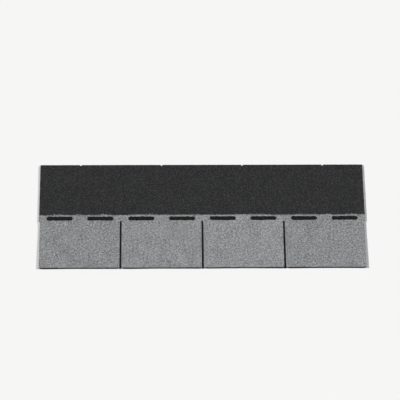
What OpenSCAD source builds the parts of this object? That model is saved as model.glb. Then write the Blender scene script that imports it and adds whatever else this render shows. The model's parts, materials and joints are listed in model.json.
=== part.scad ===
// Four-tab square-butt asphalt strip shingle: granule-faced asphalt felt with a seal strip, lying face up.
// X runs along the course, +Y runs up the roof from the butt edge to the top edge, and Z is the thickness.
// The origin is under the middle of the strip, on the surface that it lies on.

/* [Strip] */
// Length of the strip along the course
strip_l = 1000; // [900:1:1100]
// Width of the strip, from its butt edge to its top edge
strip_w = 336; // [300:1:400]
// Thickness of the asphalt-coated felt with its granules
strip_t = 3; // [2:0.1:5]

/* [Tabs] */
// Number of tabs along the butt edge
tab_count = 4; // [3:1:5]
// Length of each slot, from the butt edge up
slot_l = 150; // [120:1:170]
// Width of each slot between two tabs, of which a strip's end carries half
slot_w = 6; // [4.5:0.1:12]
// Radius of the corners at a slot's closed end
slot_corner_r = 1.5; // [0.5:0.1:2]

/* [Alignment nicks] */
// Width of the nick in the top edge over the middle of each tab
nick_w = 7; // [4:0.5:12]
// Depth of that nick
nick_d = 5; // [3:0.5:10]

/* [Seal strip] */
// Number of adhesive dabs over each tab
dabs_per_tab = 2; // [1:1:2]
// Gap between neighbouring dabs
dab_gap = 45; // [20:1:60]
// Width of each dab
dab_w = 12; // [8:0.5:20]
// Height of a dab's crown over the face
dab_t = 1; // [0.8:0.1:2]
// Height of a dab's rim over the face
dab_rim_t = 0.4; // [0.2:0.1:0.6]
// Distance from a slot's closed end up to the dabs
dab_clear = 3; // [1:0.5:10]

/* [Hidden] */
$fn = 48;
// Sides of the circle of a dab's round back, many because its radius is large beside its height
dab_back_sides = 256;
// How far a cut runs past the edge that it opens
overrun = 2;
left_x = -strip_l / 2;
butt_y = -strip_w / 2;
top_y = strip_w / 2;
tab_pitch = strip_l / tab_count;
dab_pitch = tab_pitch / dabs_per_tab;
dab_l = dab_pitch - dab_gap;
dab_y = butt_y + slot_l + dab_clear + dab_w / 2;
// Radius of the round back of a dab, which passes through its rim and its crown
dab_crown_h = dab_t - dab_rim_t;
dab_back_r = (pow(dab_w / 2, 2) + pow(dab_crown_h, 2)) / (2 * dab_crown_h);

// One die-cut slot on the Y axis, open at the butt edge and with round corners at its closed end
module slot_outline() {
    straight_l = slot_l - slot_corner_r;
    flat_w = slot_w - 2 * slot_corner_r;
    translate([-slot_w / 2, -overrun]) square([slot_w, straight_l + overrun]);
    translate([-flat_w / 2, 0]) square([flat_w, slot_l]);
    for (side = [-1, 1])
        translate([side * flat_w / 2, straight_l]) circle(r = slot_corner_r);
}

// One V-shaped nick on the Y axis, open at the top edge
module nick_outline() {
    open_share = (nick_d + overrun) / nick_d;
    polygon([[0, -nick_d], [open_share * nick_w / 2, overrun], [-open_share * nick_w / 2, overrun]]);
}

// The die-cut outline: the slots at the two ends each take half a slot off the strip
module strip_outline() {
    difference() {
        translate([left_x, butt_y]) square([strip_l, strip_w]);
        for (slot = [0 : tab_count])
            translate([left_x + slot * tab_pitch, butt_y]) slot_outline();
        for (tab = [0 : tab_count - 1])
            translate([left_x + (tab + 1 / 2) * tab_pitch, top_y]) nick_outline();
    }
}

module shingle_sheet() {
    color("gray") linear_extrude(strip_t) strip_outline();
}

// Half of a dab's cross-section, from its middle line to one rim
module dab_half_section() {
    intersection() {
        square([dab_w / 2, dab_t]);
        translate([0, dab_t - dab_back_r]) circle(r = dab_back_r, $fn = dab_back_sides);
    }
}

// One bead of adhesive along X: a straight run of the section with turned ends
module seal_dab() {
    run_l = dab_l - dab_w;
    for (side = [0, 1])
        mirror([0, side, 0])
            translate([-run_l / 2, 0, 0]) rotate([90, 0, 90])
                linear_extrude(run_l) dab_half_section();
    for (side = [0, 1])
        mirror([side, 0, 0])
            translate([run_l / 2, 0, 0]) rotate([0, 0, -90])
                rotate_extrude(angle = 180) dab_half_section();
}

module seal_dabs() {
    color("black")
        for (dab = [0 : tab_count * dabs_per_tab - 1])
            translate([left_x + (dab + 1 / 2) * dab_pitch, dab_y, strip_t]) seal_dab();
}

shingle_sheet();
seal_dabs();
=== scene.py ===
"""Looks of a four-tab asphalt strip shingle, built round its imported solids.

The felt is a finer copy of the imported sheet, with a rough die-cut edge and tabs that lift a little.
Crushed-stone granules lie on it as real chips, in lots of one colour each: four greys on the tabs, and
two blacks on the headlap. The seal is a row of bitumen beads with flowed outlines. Lengths are in metres.
"""

import json
import math

import bmesh
import bpy
import numpy as np
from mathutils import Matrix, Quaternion, Vector
from mathutils.bvhtree import BVHTree


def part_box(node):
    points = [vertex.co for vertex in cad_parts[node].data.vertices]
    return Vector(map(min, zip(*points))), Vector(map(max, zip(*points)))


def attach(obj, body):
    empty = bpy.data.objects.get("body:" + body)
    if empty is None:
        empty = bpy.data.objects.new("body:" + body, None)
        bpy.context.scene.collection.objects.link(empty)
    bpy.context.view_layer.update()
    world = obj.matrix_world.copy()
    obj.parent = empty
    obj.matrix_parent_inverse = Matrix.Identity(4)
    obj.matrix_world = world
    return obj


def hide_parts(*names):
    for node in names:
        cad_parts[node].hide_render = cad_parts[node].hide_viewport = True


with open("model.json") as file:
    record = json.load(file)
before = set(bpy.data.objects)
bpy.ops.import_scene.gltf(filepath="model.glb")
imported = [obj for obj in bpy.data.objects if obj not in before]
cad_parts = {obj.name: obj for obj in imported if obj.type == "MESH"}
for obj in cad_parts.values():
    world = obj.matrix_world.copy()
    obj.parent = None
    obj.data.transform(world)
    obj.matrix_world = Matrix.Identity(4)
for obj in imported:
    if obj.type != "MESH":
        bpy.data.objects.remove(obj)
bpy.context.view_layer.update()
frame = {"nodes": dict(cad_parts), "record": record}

MM = 0.001
rng = np.random.default_rng(4021)

# The strip, as packed
SHEET_LOW, SHEET_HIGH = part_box("shingle_sheet")
BUTT_Y = SHEET_LOW.y
SLOT_BOXES = sorted(opening["box_m"] for opening in frame["record"]["physics"]["openings"])
SLOT_XS = np.array([(low[0] + high[0]) / 2 for low, high in SLOT_BOXES])
SLOT_END_Y = max(high[1] for low, high in SLOT_BOXES)
TAB_EDGES = np.concatenate([[SHEET_LOW.x], SLOT_XS, [SHEET_HIGH.x]])

# The felt
FACE_DROP = 0.4 * MM  # from the granules' tops down to the asphalt that holds them
FELT_STEP = 10 * MM  # between the cuts that give the felt its finer mesh
RIM_CUTS = 3  # more cuts in each edge along the rim
RIM_SHORTEST = 4 * MM  # edges under this length, as in the slots' corners, get no such cuts
MAT_LEVELS = (0.9 * MM, 1.6 * MM)  # heights of the two lines in the cut edge, either side of the glass mat
EDGE_RAG = 0.22 * MM  # how far the cut edge strays in and out
RAG_FULL_EDGE = 2 * MM  # an edge shorter than this is roughened less
WELD = 0.001 * MM  # points nearer to each other than this are one
FLAT_ANGLE = math.radians(0.5)  # neighbouring faces within this angle become one flat face
LEVEL_RISE = 0.5  # height of a face's normal, up or down, past which it is level and not a wall

# How the strip lies: the free corners of its tabs lift, and the whole sheet has a slow wave
CORNER_LIFT = (0.15 * MM, 1.0 * MM)  # least and most
WAVE_H = 0.2 * MM
WAVE_X = 0.43  # length of the wave along the strip
WAVE_Y = 0.52  # and across it

# Granules, whose radii and heights are given as the least and the most
FACE_Z = SHEET_HIGH.z - FACE_DROP
PRIME_W = 170 * MM  # width of the grey part, from the butt edge up
PRIME_WOBBLE = 1.6 * MM  # how far the line between the grey and the black strays
PRIME_WOBBLE_SIZE = 25 * MM  # length of its bends
PRIME_MIXED = 2.0 * MM  # how far past that line, each way, granules of the two mingle
RIM_BARE = 0.65 * MM  # no granule has its middle nearer than this to the cut edge
SUNK = 0.05 * MM  # depth of a granule's foot in the asphalt
COARSE_STEP = 1.95 * MM
COARSE_RADIUS = (1.05 * MM, 1.45 * MM)
COARSE_HEIGHT = (0.38 * MM, 0.58 * MM)
FINE_STEP = 1.3 * MM
FINE_RADIUS = (0.85 * MM, 1.2 * MM)
FINE_HEIGHT = (0.25 * MM, 0.4 * MM)
HEADLAP_STEP = 1.9 * MM
HEADLAP_RADIUS = (1.2 * MM, 1.6 * MM)
HEADLAP_HEIGHT = (0.34 * MM, 0.54 * MM)
JITTER_SHARE = 0.42  # of the step between granules
UNLIKE_SHARE = 0.17  # of a granule's size, by which each corner strays
LEAN = 0.07  # most slope of a granule that leans, each way
STRETCH = (0.8, 1.2)  # of a granule one way, with as much shrinking the other
CHIP_MIDDLE = 0.5  # height of the middle of a unit chip
RIDGE_FOOT = 1.4  # side of a ridged chip's foot, where other chips have a radius of 1
RIDGE_TOP_SHARE = 0.6  # of that, the length of its ridge
FLAT_TOP_SHARE = 0.5  # of its foot, the width of a flat chip's top
CHIP_SHARES = (0.4, 0.3, 0.3)  # of the coarse granules: pointed, flat-topped and ridged
HEADLAP_CHIP_SHARES = (0.35, 0.65)  # of the headlap's: pointed, and three-sided shards
CAST_HEIGHT = 0.1  # from which places are cast down on to the strip

# Colours of the granules, pale to dark, and how each tab's mix of them leans to the pale (+) or the dark (-)
LOT_COLOURS = {
    "pale": (0.520, 0.526, 0.530),
    "light": (0.374, 0.380, 0.386),
    "slate": (0.264, 0.272, 0.283),
    "dark": (0.138, 0.142, 0.148),
}
TAB_LEANS = (-0.08, 0.10, 0.16, -0.09)
MOTTLE_LEAN = 0.14  # how much further slow patches in a tab lean
MOTTLE_SIZE = 30 * MM
CLUSTER_LEAN = 0.62  # and small clusters of like granules
CLUSTER_SIZE = 4.4 * MM
CLUSTER_WAVES = 24
HEADLAP_COLOURS = {"black": (0.013, 0.0132, 0.0136), "charcoal": (0.055, 0.056, 0.058)}
HEADLAP_SHARES = (0.7, 0.3)

# A slow noise over the strip: its count of waves, and their shortest and longest in sizes of its features
NOISE_WAVES = 9
NOISE_PITCHES = (1.6, 3.2)

# Seal beads
BEAD_COLUMNS = 72  # of its mesh, along it
BEAD_ROWS = 12
BEAD_WOBBLE_SHARE = 0.10  # of half its width, by which each side strays
BEAD_WOBBLE_SIZE = 6 * MM
BEAD_TIP_SHARE = 0.2  # of the width, left at the very end
BEAD_RIM = 0.35 * MM  # height of a bead's rim over the asphalt
BEAD_FALL = 0.8  # of its round back to the sides, where 1 would bring it down to the rim
BEAD_LUMP_SHARE = 0.12  # of its height
BEAD_LUMP_SIZE = 7 * MM

# Finishes: sizes and depths of their patterns, levels at which a noise counts, and colours
NOISE_MIDDLE = (0.25, 0.75)  # levels between which most of a noise lies
WEATHER_SIZE = 70 * MM
WEATHER_SHARE = 0.35  # of a stone's changes of tone, the rest being its grain
STONE_GRAIN = 0.7 * MM
STONE_TONES = (0.78, 1.22)  # darkest and palest, as shares of its lot's colour
STONE_PIT = 0.25 * MM
STONE_PIT_DEPTH = 0.05 * MM
CRUMB = 0.95 * MM  # size of the finest stone, between the chips
CRUMB_DEPTH = 0.3 * MM
CRUMB_EDGE = (0.4375, 0.75)  # shares of that size, from its middle, over which it gives way to bare asphalt
ASPHALT_COLOUR = (0.016, 0.016, 0.017)
ASPHALT_PATCH = 1.5 * MM
EDGE_COLOUR = (0.008, 0.008, 0.0084)
TEAR_SIZE = 1.2 * MM
TEAR_DEPTH = 0.35 * MM
FILLER_COLOUR = (0.15, 0.155, 0.16)
FILLER_SPECK = 0.35 * MM
FILLER_LEVEL = 0.65
FILLER_SHARE = 0.5  # of its colour in a speck, the rest being asphalt
BACK_COLOURS = ((0.025, 0.024, 0.023), (0.11, 0.105, 0.097))  # darkest and palest
SAND = 0.4 * MM
SAND_DEPTH = 0.15 * MM
SAND_PATCH = 0.9 * MM
FILM_COLOURS = ((0.004, 0.004, 0.0043), (0.010, 0.010, 0.0105))  # clean, and under dust
DUST_SIZE = 6 * MM
DUST_LEVELS = (0.45, 0.95)  # from no dust to most
RIPPLE_SIZE = 5 * MM
RIPPLE_DEPTH = 0.9 * MM
GRIT_COLOUR = (0.3, 0.3, 0.29)
GRIT_SIZE = 0.6 * MM
GRIT_LEVEL = 0.7
GRIT_RISE = 0.15  # of a ripple's height

# Camera, fitted to the photograph's tabs
FRAME_PX = 400
FOCAL_PX = 1508
SENSOR_MM = 36
CAMERA_AIM = Vector((-0.0066, 0.0507, 0.003))
CAMERA_DISTANCE = 4.646
CAMERA_ELEVATION = math.radians(69.0)
CAMERA_AZIMUTH = math.radians(-3.77)
CAMERA_ROLL = math.radians(3.36)

# Light: two low lamps, one each side and a little behind, so that the slots and the butt edge stay dark.
# The levels are the shares of a white card's brightness on the floor that come from each lamp and the sky.
LAMP_LEVELS = {"left_lamp": 0.6, "right_lamp": 0.39}
LAMP_AZIMUTHS = {"left_lamp": math.radians(-112), "right_lamp": math.radians(112)}
LAMP_ELEVATION = math.radians(22.5)
LAMP_SPREAD = math.radians(6)  # apparent width of a lamp, which softens its shadows
SKY_LEVEL = 0.01
FLOOR_RADIUS = 30
FLOOR_SIDES = 96
FLOOR_Z = -0.05 * MM
FLOOR_COLOUR = (0.92, 0.92, 0.915)
BACKDROP_LEVEL = 0.92  # brightness of the sky where it is seen or mirrored


# Shader maths

class Wire:
    """A shader value that Python sums can use: each operator adds a Math node to its finish."""

    def __init__(self, finish, socket):
        self.finish = finish
        self.socket = socket

    def joined(self, operation, first, second, clamp=False):
        settings = {"operation": operation, "use_clamp": clamp}
        return self.finish.node("ShaderNodeMath", settings, {0: first, 1: second})

    def __add__(self, other):
        return self.joined("ADD", self, other)

    def __radd__(self, other):
        return self.joined("ADD", other, self)

    def __sub__(self, other):
        return self.joined("SUBTRACT", self, other)

    def __rsub__(self, other):
        return self.joined("SUBTRACT", other, self)

    def __mul__(self, other):
        return self.joined("MULTIPLY", self, other)

    def __rmul__(self, other):
        return self.joined("MULTIPLY", other, self)

    def __truediv__(self, other):
        return self.joined("DIVIDE", self, other)

    def clamped(self):
        return self.joined("ADD", self, 0, clamp=True)

    def above(self, level):
        return self.joined("GREATER_THAN", self, level)

    def between(self, low, high):
        """0 up to the low level, 1 from the high one on, and an even rise from one to the other."""
        return ((self - low) / (high - low)).clamped()


class Finish:
    """The nodes of a material or a sky: one method adds any node, and a few name the common ones."""

    # Places of a Mix node's two colours among its inputs, and of the mixed one among its outputs
    MIX_A, MIX_B, MIX_OUT = 6, 7, 2

    def __init__(self, block, shader="Principled BSDF"):
        block.use_nodes = True
        self.block = block
        self.tree = block.node_tree
        self.shader = self.tree.nodes[shader]

    def node(self, kind, settings=None, sockets=None, output=0):
        made = self.tree.nodes.new(kind)
        for name, value in (settings or {}).items():
            if name == "stops":
                self.set_stops(made.color_ramp, value)
            else:
                setattr(made, name, value)
        self.fill(made, sockets or {})
        return Wire(self, made.outputs[output])

    def set_stops(self, ramp, stops):
        """Gives a ramp steps of plain colour, each from its place on to the next."""
        ramp.interpolation = "CONSTANT"
        for place, colour in stops:
            stop = ramp.elements[0] if place == 0 else ramp.elements.new(place)
            stop.color = (*colour, 1)
        ramp.elements.remove(ramp.elements[-1])

    def fill(self, made, sockets):
        for name, value in sockets.items():
            if isinstance(value, Wire):
                self.tree.links.new(value.socket, made.inputs[name])
            else:
                made.inputs[name].default_value = value

    def place(self):
        """Where a point of the surface is, in metres."""
        return self.node("ShaderNodeTexCoord", output="Object")

    def noise(self, size, detail=2.0, roughness=0.5):
        sockets = {"Vector": self.place(), "Scale": 1 / size, "Detail": detail, "Roughness": roughness}
        return self.node("ShaderNodeTexNoise", {}, sockets)

    def crumbs(self, size, output="Distance"):
        sockets = {"Vector": self.place(), "Scale": 1 / size}
        return self.node("ShaderNodeTexVoronoi", {}, sockets, output)

    def mix(self, share, first, second):
        sockets = {0: share, self.MIX_A: (*first, 1) if isinstance(first, tuple) else first}
        sockets[self.MIX_B] = (*second, 1) if isinstance(second, tuple) else second
        return self.node("ShaderNodeMix", {"data_type": "RGBA"}, sockets, self.MIX_OUT)

    def bump(self, height, depth, strength):
        sockets = {"Height": height, "Distance": depth, "Strength": strength}
        return self.node("ShaderNodeBump", {}, sockets)

    def surface(self, **sockets):
        """Sets sockets of the shader, whose names have _ for a space."""
        self.fill(self.shader, {name.replace("_", " "): value for name, value in sockets.items()})
        return self.block


def new_finish(name):
    return Finish(bpy.data.materials.new(name))


def scaled(colour, factor):
    return tuple(factor * part for part in colour)


# Finishes

def granule_finish(name, colour):
    """Crushed stone: each chip's colour strays a little, and its faces are rough."""
    finish = new_finish(name)
    weather = finish.noise(WEATHER_SIZE)
    grain = finish.noise(STONE_GRAIN, detail=3)
    tone = WEATHER_SHARE * weather + (1 - WEATHER_SHARE) * grain
    dark, pale = (scaled(colour, share) for share in STONE_TONES)
    return finish.surface(
        Base_Color=finish.mix(tone.between(*NOISE_MIDDLE), dark, pale),
        Roughness=0.78 + 0.2 * grain,
        Normal=finish.bump(finish.noise(STONE_PIT), STONE_PIT_DEPTH, strength=0.6),
        Specular_IOR_Level=0.12,
    )


def asphalt_finish():
    """The asphalt face between the chips, set with the finest stone: grey, and black on the headlap."""
    finish = new_finish("asphalt_face")
    y = finish.node("ShaderNodeSeparateXYZ", {}, {0: finish.place()}, "Y")
    grey_share = ((BUTT_Y + PRIME_W - y) / PRIME_MIXED + 0.5).clamped()
    crumb = finish.crumbs(CRUMB)
    draw = finish.node("ShaderNodeSeparateColor", {}, {0: finish.crumbs(CRUMB, "Color")})
    greys, blacks = list(LOT_COLOURS.values()), list(HEADLAP_COLOURS.values())
    grey_stops = [(index / len(greys), colour) for index, colour in enumerate(greys)]
    grey_stone = finish.node("ShaderNodeValToRGB", {"stops": grey_stops}, {0: draw})
    black_stops = [(0, blacks[0]), (HEADLAP_SHARES[0], blacks[1])]
    black_stone = finish.node("ShaderNodeValToRGB", {"stops": black_stops}, {0: draw})
    stone = finish.mix(grey_share, black_stone, grey_stone)
    return finish.surface(
        Base_Color=finish.mix(crumb.between(*CRUMB_EDGE), stone, ASPHALT_COLOUR),
        Roughness=0.6 + 0.35 * finish.noise(ASPHALT_PATCH),
        Normal=finish.bump(1 - crumb, CRUMB_DEPTH, strength=0.8),
        Specular_IOR_Level=0.2,
    )


def cut_edge_finish():
    """The die-cut edge: torn black asphalt with pale specks of filler."""
    finish = new_finish("cut_edge")
    speck = finish.noise(FILLER_SPECK).above(FILLER_LEVEL)
    tear = finish.noise(TEAR_SIZE, detail=4, roughness=0.65)
    return finish.surface(
        Base_Color=finish.mix(FILLER_SHARE * speck, EDGE_COLOUR, FILLER_COLOUR),
        Roughness=0.6 + 0.35 * tear,
        Normal=finish.bump(tear, TEAR_DEPTH, strength=0.8),
        Specular_IOR_Level=0.08,
    )


def back_finish():
    """The sanded back: black asphalt under fine sand."""
    finish = new_finish("sanded_back")
    sand = finish.crumbs(SAND)
    tone = finish.noise(SAND_PATCH, detail=3)
    return finish.surface(
        Base_Color=finish.mix(tone, *BACK_COLOURS),
        Roughness=0.75 + 0.2 * tone,
        Normal=finish.bump(1 - sand, SAND_DEPTH, strength=0.9),
    )


def bitumen_finish():
    """Soft bitumen: half-matt black, duller where dust has stuck to it."""
    finish = new_finish("seal_bitumen")
    dust = finish.noise(DUST_SIZE, detail=4, roughness=0.6)
    ripple = finish.noise(RIPPLE_SIZE)
    grit = finish.noise(GRIT_SIZE, detail=1).above(GRIT_LEVEL)
    film = finish.mix(dust.between(*DUST_LEVELS), *FILM_COLOURS)
    return finish.surface(
        Base_Color=finish.mix(grit * dust, film, GRIT_COLOUR),
        Roughness=0.3 + 0.3 * dust + 0.3 * grit,
        Normal=finish.bump(ripple + GRIT_RISE * grit, RIPPLE_DEPTH, strength=0.8),
        Specular_IOR_Level=0.1,
    )


def floor_finish():
    finish = new_finish("floor_paint")
    return finish.surface(Base_Color=(*FLOOR_COLOUR, 1), Roughness=1, Specular_IOR_Level=0)


# Modelling helpers

def edit(piece):
    """Selects one piece alone and opens it in edit mode."""
    bpy.ops.object.select_all(action="DESELECT")
    piece.select_set(True)
    bpy.context.view_layer.objects.active = piece
    bpy.ops.object.mode_set(mode="EDIT")


def leave_edit():
    bpy.ops.object.mode_set(mode="OBJECT")


def pick(piece, kind, test):
    """Selects, in edit mode, the points, edges or faces that pass a test."""
    bpy.context.tool_settings.mesh_select_mode = [kind == name for name in ("verts", "edges", "faces")]
    bpy.ops.mesh.select_all(action="DESELECT")
    mesh = bmesh.from_edit_mesh(piece.data)
    mesh.normal_update()
    for part in getattr(mesh, kind):
        if test(part):
            part.select_set(True)
    bmesh.update_edit_mesh(piece.data)


def cut_across(places, normal):
    """Bisects the open mesh at each place along a normal."""
    for place in places:
        bpy.ops.mesh.select_all(action="SELECT")
        bpy.ops.mesh.bisect(plane_co=place * normal, plane_no=normal)


def points_of(mesh):
    points = np.empty(3 * len(mesh.vertices))
    mesh.vertices.foreach_get("co", points)
    return points.reshape(-1, 3)


def set_points(mesh, points):
    mesh.vertices.foreach_set("co", points.ravel())
    mesh.update()


def smooth_step(share):
    share = np.clip(share, 0, 1)
    return share * share * (3 - 2 * share)


def slow_noise(x, y, size, waves=NOISE_WAVES):
    """A smooth wandering value about 0, mostly within 1, with features of the given size."""
    total = 0
    for _ in range(waves):
        angle, phase = rng.uniform(0, 2 * math.pi, 2)
        pitch = size * rng.uniform(*NOISE_PITCHES)
        total = total + np.sin(2 * math.pi * (x * math.cos(angle) + y * math.sin(angle)) / pitch + phase)
    return total / math.sqrt(waves)


# The felt

corner_lifts = rng.uniform(*CORNER_LIFT, (len(TAB_EDGES) - 1, 2))


def tab_of(x):
    return np.clip(np.searchsorted(TAB_EDGES, x) - 1, 0, len(TAB_EDGES) - 2)


def lie(x, y):
    """How far the strip stands off the floor at a place: a slow wave, and the lift of the tabs' corners."""
    wave = WAVE_H * (1 + np.sin(2 * math.pi * x / WAVE_X) * np.cos(2 * math.pi * y / WAVE_Y)) / 2
    tab = tab_of(x)
    middle = (TAB_EDGES[tab] + TAB_EDGES[tab + 1]) / 2
    half = (TAB_EDGES[tab + 1] - TAB_EDGES[tab]) / 2
    across = (x - middle) / half
    side = (across > 0).astype(int)
    down = smooth_step((SLOT_END_Y - y) / (SLOT_END_Y - BUTT_Y))
    return wave + corner_lifts[tab, side] * down * smooth_step(np.abs(across))


def is_level(face):
    return abs(face.normal.z) > LEVEL_RISE


def is_rim(edge):
    """Whether an edge lies between a wall and a four-sided level face, and is long enough to cut."""
    level = [face for face in edge.link_faces if is_level(face)]
    return len(level) == 1 and len(level[0].verts) == 4 and edge.calc_length() > RIM_SHORTEST


def is_flat_edge(edge):
    return abs(edge.verts[0].co.z - edge.verts[1].co.z) < WELD


def rag(mesh):
    """Roughens the cut edge by moving its points in and out."""
    shape = bmesh.new()
    shape.from_mesh(mesh)
    shape.normal_update()
    for point in shape.verts:
        walls = [face for face in point.link_faces if not is_level(face)]
        if walls:
            out = sum((face.normal for face in walls), Vector()).normalized()
            spare = min(edge.calc_length() for face in walls for edge in face.edges if is_flat_edge(edge))
            point.co += out * rng.uniform(-EDGE_RAG, EDGE_RAG) * min(1, spare / RAG_FULL_EDGE)
    shape.to_mesh(mesh)
    shape.free()


def make_felt():
    """The felt: a finer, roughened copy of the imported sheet, its face lowered to the granules' feet."""
    mesh = frame["nodes"]["shingle_sheet"].data.copy()
    felt = bpy.data.objects.new("felt", mesh)
    bpy.context.scene.collection.objects.link(felt)
    mesh.materials.clear()
    edit(felt)
    bpy.ops.mesh.select_all(action="SELECT")
    bpy.ops.mesh.remove_doubles(threshold=WELD)
    bpy.ops.mesh.dissolve_limited(angle_limit=FLAT_ANGLE)
    cut_across(np.arange(SHEET_LOW.x + FELT_STEP, SHEET_HIGH.x - WELD, FELT_STEP), Vector((1, 0, 0)))
    cut_across(np.arange(SHEET_LOW.y + FELT_STEP, SHEET_HIGH.y - WELD, FELT_STEP), Vector((0, 1, 0)))
    pick(felt, "edges", is_rim)
    bpy.ops.mesh.subdivide(number_cuts=RIM_CUTS)
    pick(felt, "faces", lambda face: face.normal.z > LEVEL_RISE)
    bpy.ops.transform.translate(value=(0, 0, -FACE_DROP))
    cut_across(MAT_LEVELS, Vector((0, 0, 1)))
    leave_edit()
    rag(mesh)
    points = points_of(mesh)
    points[:, 2] += lie(points[:, 0], points[:, 1])
    set_points(mesh, points)
    for material in (asphalt_finish(), cut_edge_finish(), back_finish()):
        mesh.materials.append(material)
    on_face, on_edge, on_back = range(len(mesh.materials))
    normals = np.empty(3 * len(mesh.polygons))
    mesh.polygons.foreach_get("normal", normals)
    rise = normals[2::3]
    edge_or_back = np.where(rise < -LEVEL_RISE, on_back, on_edge)
    mesh.polygons.foreach_set("material_index", np.where(rise > LEVEL_RISE, on_face, edge_or_back))
    return felt


# Granules

class Chip:
    """A unit granule: its points, with a foot at height 0 and a top at height 1, and its triangles."""

    def __init__(self, piece):
        edit(piece)
        bpy.ops.mesh.select_all(action="SELECT")
        bpy.ops.mesh.quads_convert_to_tris()
        leave_edit()
        self.points = points_of(piece.data)
        self.triangles = np.array([polygon.vertices[:] for polygon in piece.data.polygons])
        bpy.data.objects.remove(piece)


def make_chip(sides, top_share=0.0):
    """A cone of few sides, cut off at its top where top_share says how wide it still is there."""
    bpy.ops.mesh.primitive_cone_add(
        vertices=sides, radius1=1, radius2=top_share, depth=1, location=(0, 0, CHIP_MIDDLE)
    )
    bpy.ops.object.transform_apply(location=True)
    return Chip(bpy.context.object)


def make_ridge():
    """A four-sided chip whose top is a ridge instead of a point."""
    bpy.ops.mesh.primitive_cube_add(
        size=1, scale=(RIDGE_FOOT, RIDGE_FOOT, 1), location=(0, 0, CHIP_MIDDLE)
    )
    piece = bpy.context.object
    bpy.ops.object.transform_apply(location=True, scale=True)
    edit(piece)
    for side in (-1, 1):
        pick(piece, "edges", lambda edge: all(
            point.co.z > CHIP_MIDDLE and point.co.x * side > 0 for point in edge.verts
        ))
        bpy.ops.mesh.merge(type="CENTER")
    pick(piece, "verts", lambda point: point.co.z > CHIP_MIDDLE)
    bpy.ops.transform.resize(value=(RIDGE_TOP_SHARE, 1, 1))
    leave_edit()
    return Chip(piece)


def scatter(step):
    """Places over the whole strip, about a step apart, as rows of x and y."""
    columns = np.arange(SHEET_LOW.x, SHEET_HIGH.x + step, step)
    rows = np.arange(SHEET_LOW.y, SHEET_HIGH.y + step, step)
    x, y = np.meshgrid(columns, rows)
    x[1::2] += step / 2
    places = np.stack([x.ravel(), y.ravel()], axis=1)
    return places + rng.uniform(-JITTER_SHARE, JITTER_SHARE, places.shape) * step


def on_felt(places):
    """Which places lie on the strip, off its bare rim."""
    mesh = frame["nodes"]["shingle_sheet"].data
    corners = [point.co for point in mesh.vertices]
    faces = [polygon.vertices[:] for polygon in mesh.polygons]
    walls = [polygon.vertices[:] for polygon in mesh.polygons if not is_level(polygon)]
    solid = BVHTree.FromPolygons(corners, faces)
    rim = BVHTree.FromPolygons(corners, walls)
    down = Vector((0, 0, -1))
    kept = []
    for x, y in places:
        hit = solid.ray_cast(Vector((x, y, CAST_HEIGHT)), down)[0]
        kept.append(hit is not None and rim.find_nearest(hit, RIM_BARE)[0] is None)
    return np.array(kept)


def grown(chip, places, radius, height):
    """Granules from one unit chip, each turned, leant and knocked out of shape: points and triangles."""
    count, corners = len(places), len(chip.points)
    stray = rng.uniform(-UNLIKE_SHARE, UNLIKE_SHARE, (count, corners, 3))
    stray[..., 2] *= chip.points[:, 2]
    shape = chip.points + stray
    radii = rng.uniform(*radius, count)
    stretch = rng.uniform(*STRETCH, count)
    sizes = np.stack([radii * stretch, radii / stretch, rng.uniform(*height, count)], axis=1)
    shape *= sizes[:, None]
    turn = rng.uniform(0, 2 * math.pi, count)[:, None]
    x = shape[..., 0] * np.cos(turn) - shape[..., 1] * np.sin(turn)
    y = shape[..., 0] * np.sin(turn) + shape[..., 1] * np.cos(turn)
    lean = rng.uniform(-LEAN, LEAN, (2, count, 1))
    z = shape[..., 2] + lean[0] * x + lean[1] * y
    foot = FACE_Z - SUNK + lie(places[:, 0], places[:, 1])
    points = np.stack([x + places[:, :1], y + places[:, 1:], z + foot[:, None]], axis=2)
    triangles = chip.triangles + corners * np.arange(count)[:, None, None]
    return points.reshape(-1, 3), triangles.reshape(-1, 3)


def join_arrays(groups):
    """One set of points and triangles from several."""
    starts = np.cumsum([0] + [len(points) for points, triangles in groups])
    points = np.concatenate([points for points, triangles in groups])
    triangles = np.concatenate([triangles + start for start, (_, triangles) in zip(starts, groups)])
    return points, triangles


def make_lot(name, groups, material):
    """One piece of many granules, with a map that lays it out as seen from above."""
    points, triangles = join_arrays(groups)
    mesh = bpy.data.meshes.new(name)
    mesh.from_pydata(points.tolist(), [], triangles.tolist())
    mesh.materials.append(material)
    flat = points[triangles.ravel(), :2]
    low, high = flat.min(axis=0), flat.max(axis=0)
    layer = mesh.uv_layers.new(name="OFBake")
    layer.data.foreach_set("uv", ((flat - low) / (high - low)).ravel())
    lot = bpy.data.objects.new(name, mesh)
    bpy.context.scene.collection.objects.link(lot)
    return lot


def lot_of(places):
    """Which lot each granule on the tabs comes from, by odds that lean with its tab, mottle and cluster."""
    x, y = places.T
    lean = np.array(TAB_LEANS)[tab_of(x)]
    lean = lean + MOTTLE_LEAN * slow_noise(x, y, MOTTLE_SIZE)
    lean = lean + CLUSTER_LEAN * slow_noise(x, y, CLUSTER_SIZE, CLUSTER_WAVES)
    rank = np.linspace(1, -1, len(LOT_COLOURS))
    odds = np.exp(lean[:, None] * rank)
    odds /= odds.sum(axis=1, keepdims=True)
    return (rng.uniform(0, 1, (len(places), 1)) > np.cumsum(odds, axis=1)).sum(axis=1)


def is_grey(places):
    """Which places are on the grey part, below a line that strays a little."""
    x, y = places.T
    line = BUTT_Y + PRIME_W + PRIME_WOBBLE * slow_noise(x, 0, PRIME_WOBBLE_SIZE)
    return y < line + rng.uniform(-PRIME_MIXED, PRIME_MIXED, len(places))


def split(places, shares):
    """Deals the places out at random, by shares."""
    draw = rng.uniform(0, sum(shares), len(places))
    edges = np.cumsum((0, *shares))
    return [places[(draw >= low) & (draw < high)] for low, high in zip(edges, edges[1:])]


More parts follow.
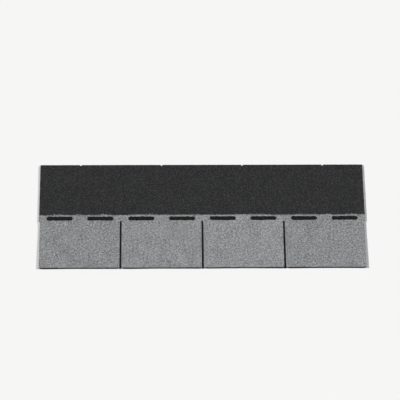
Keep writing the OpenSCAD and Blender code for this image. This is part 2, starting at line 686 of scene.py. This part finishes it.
def make_granules():
    """Every granule, one piece to a lot: coarse and fine greys on the tabs, and blacks on the headlap."""
    shard = make_chip(3)
    pointed = make_chip(4)
    flat_topped = make_chip(3, FLAT_TOP_SHARE)
    ridged = make_ridge()
    coarse, fine, black = scatter(COARSE_STEP), scatter(FINE_STEP), scatter(HEADLAP_STEP)
    coarse, fine, black = [places[on_felt(places)] for places in (coarse, fine, black)]
    coarse, fine, black = coarse[is_grey(coarse)], fine[is_grey(fine)], black[~is_grey(black)]
    coarse_lots, fine_lots = lot_of(coarse), lot_of(fine)
    lots = []
    for index, (tone, colour) in enumerate(LOT_COLOURS.items()):
        groups = [grown(shard, fine[fine_lots == index], FINE_RADIUS, FINE_HEIGHT)]
        dealt = split(coarse[coarse_lots == index], CHIP_SHARES)
        for chip, places in zip((pointed, flat_topped, ridged), dealt):
            groups.append(grown(chip, places, COARSE_RADIUS, COARSE_HEIGHT))
        lots.append(make_lot(f"granules_{tone}", groups, granule_finish(f"stone_{tone}", colour)))
    for (tone, colour), dealt in zip(HEADLAP_COLOURS.items(), split(black, HEADLAP_SHARES)):
        groups = []
        for chip, places in zip((pointed, shard), split(dealt, HEADLAP_CHIP_SHARES)):
            groups.append(grown(chip, places, HEADLAP_RADIUS, HEADLAP_HEIGHT))
        lots.append(make_lot(f"headlap_{tone}", groups, granule_finish(f"stone_{tone}", colour)))
    return lots


# Seal beads

def bead_boxes():
    """The lowest and highest corner of each packed dab, left to right."""
    dabs = bpy.data.objects.new("packed_dabs", frame["nodes"]["seal_dabs"].data.copy())
    bpy.context.scene.collection.objects.link(dabs)
    edit(dabs)
    bpy.ops.mesh.select_all(action="SELECT")
    bpy.ops.mesh.remove_doubles(threshold=WELD)
    bpy.ops.mesh.separate(type="LOOSE")
    leave_edit()
    boxes = []
    for dab in bpy.context.selected_objects:
        points = points_of(dab.data)
        boxes.append((points.min(axis=0), points.max(axis=0)))
        bpy.data.objects.remove(dab)
    return sorted(boxes, key=lambda box: box[0][0])


def bead_crown(x, y, half_l, half_w):
    """Half-width and height shares of a bead with round ends at a place along and across it."""
    past = np.clip((np.abs(x) - (half_l - half_w)) / half_w, 0, 1)
    width = np.sqrt(np.clip(1 - past * past, BEAD_TIP_SHARE ** 2, 1))
    return width, width * np.sqrt(np.clip(1 - BEAD_FALL * y * y, 0, 1))


def make_bead(low, high):
    """One bead: a gridded sheet drawn to a flowed outline, crowned, and closed down into the granules."""
    bpy.ops.object.select_all(action="DESELECT")
    bpy.ops.mesh.primitive_grid_add(x_subdivisions=BEAD_COLUMNS, y_subdivisions=BEAD_ROWS, size=2)
    bead = bpy.context.object
    unit = points_of(bead.data)
    half_l, half_w = (high[0] - low[0]) / 2, (high[1] - low[1]) / 2
    x = unit[:, 0] * half_l
    width, height = bead_crown(x, unit[:, 1], half_l, half_w)
    near = 1 + BEAD_WOBBLE_SHARE * slow_noise(x, 0, BEAD_WOBBLE_SIZE)
    far = 1 + BEAD_WOBBLE_SHARE * slow_noise(x, 0, BEAD_WOBBLE_SIZE)
    y = unit[:, 1] * half_w * width * np.where(unit[:, 1] < 0, near, far)
    lumps = 1 + BEAD_LUMP_SHARE * slow_noise(x, y, BEAD_LUMP_SIZE)
    x = x + (low[0] + high[0]) / 2
    y = y + (low[1] + high[1]) / 2
    face = FACE_Z + lie(x, y)
    top = high[2] - FACE_Z
    z = face + BEAD_RIM + (top - BEAD_RIM) * height * lumps
    set_points(bead.data, np.stack([x, y, z], axis=1))
    edit(bead)
    pick(bead, "edges", lambda edge: edge.is_boundary)
    drop = BEAD_RIM + top / 2  # from the rim down past the granules' feet, into the felt
    bpy.ops.mesh.extrude_region_move(TRANSFORM_OT_translate={"value": (0, 0, -drop)})
    bpy.ops.mesh.edge_face_add()
    bpy.ops.mesh.select_all(action="SELECT")
    # Extruding leaves the walls in an order that changes from run to run
    bpy.ops.mesh.sort_elements(type="CURSOR_DISTANCE", elements={"VERT", "EDGE", "FACE"})
    bpy.ops.mesh.normals_make_consistent(inside=False)
    bpy.ops.mesh.faces_shade_smooth()
    leave_edit()
    return bead


def make_beads():
    beads = [make_bead(low, high) for low, high in bead_boxes()]
    bpy.ops.object.select_all(action="DESELECT")
    for bead in beads:
        bead.select_set(True)
    bpy.context.view_layer.objects.active = beads[0]
    bpy.ops.object.join()
    beads[0].name = "seal_beads"
    beads[0].data.materials.append(bitumen_finish())
    return beads[0]


# Stage, light and camera

def direction_to(azimuth, elevation):
    """The direction from the strip to what stands at an azimuth, counted from the front, and an elevation."""
    level = math.cos(elevation)
    return Vector((math.sin(azimuth) * level, -math.cos(azimuth) * level, math.sin(elevation)))


def make_floor():
    bpy.ops.object.select_all(action="DESELECT")
    bpy.ops.mesh.primitive_circle_add(
        vertices=FLOOR_SIDES, radius=FLOOR_RADIUS, fill_type="NGON", location=(0, 0, FLOOR_Z)
    )
    floor = bpy.context.object
    floor.name = "floor"
    floor.data.materials.append(floor_finish())


def make_lamps():
    for name, level in LAMP_LEVELS.items():
        towards = direction_to(LAMP_AZIMUTHS[name], LAMP_ELEVATION)
        lamp = bpy.data.lights.new(name, "SUN")
        lamp.angle = LAMP_SPREAD
        # A white card square to the lamp is at full brightness when this is pi
        lamp.energy = level * math.pi / math.sin(LAMP_ELEVATION)
        stand = bpy.data.objects.new(name, lamp)
        stand.location = towards
        stand.rotation_euler = (-towards).to_track_quat("-Z", "Y").to_euler()
        bpy.context.scene.collection.objects.link(stand)


def make_sky():
    """A sky that gives little light, and is pale where the camera or a glossy surface sees it."""
    finish = Finish(bpy.data.worlds.new("studio_sky"), "Background")
    rays = ("Is Camera Ray", "Is Glossy Ray", "Is Transmission Ray")
    seen = sum(finish.node("ShaderNodeLightPath", output=ray) for ray in rays).clamped()
    strength = SKY_LEVEL + (BACKDROP_LEVEL - SKY_LEVEL) * seen
    bpy.context.scene.world = finish.surface(Color=(1, 1, 1, 1), Strength=strength)


def make_camera():
    towards = direction_to(CAMERA_AZIMUTH, CAMERA_ELEVATION)
    data = bpy.data.cameras.new("camera")
    data.sensor_width = SENSOR_MM
    data.lens = FOCAL_PX * SENSOR_MM / FRAME_PX
    camera = bpy.data.objects.new("camera", data)
    camera.location = CAMERA_AIM + towards * CAMERA_DISTANCE
    camera.rotation_mode = "QUATERNION"
    camera.rotation_quaternion = (-towards).to_track_quat("-Z", "Y") @ Quaternion((0, 0, 1), CAMERA_ROLL)
    bpy.context.scene.collection.objects.link(camera)
    bpy.context.scene.camera = camera


# The scene

make_camera()
make_lamps()
make_sky()
make_floor()

felt = make_felt()
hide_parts("shingle_sheet")
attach(felt, "root")

for lot in make_granules():
    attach(lot, "root")

seal_beads = make_beads()
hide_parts("seal_dabs")
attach(seal_beads, "root")

bpy.context.scene.view_settings.view_transform = "Standard"
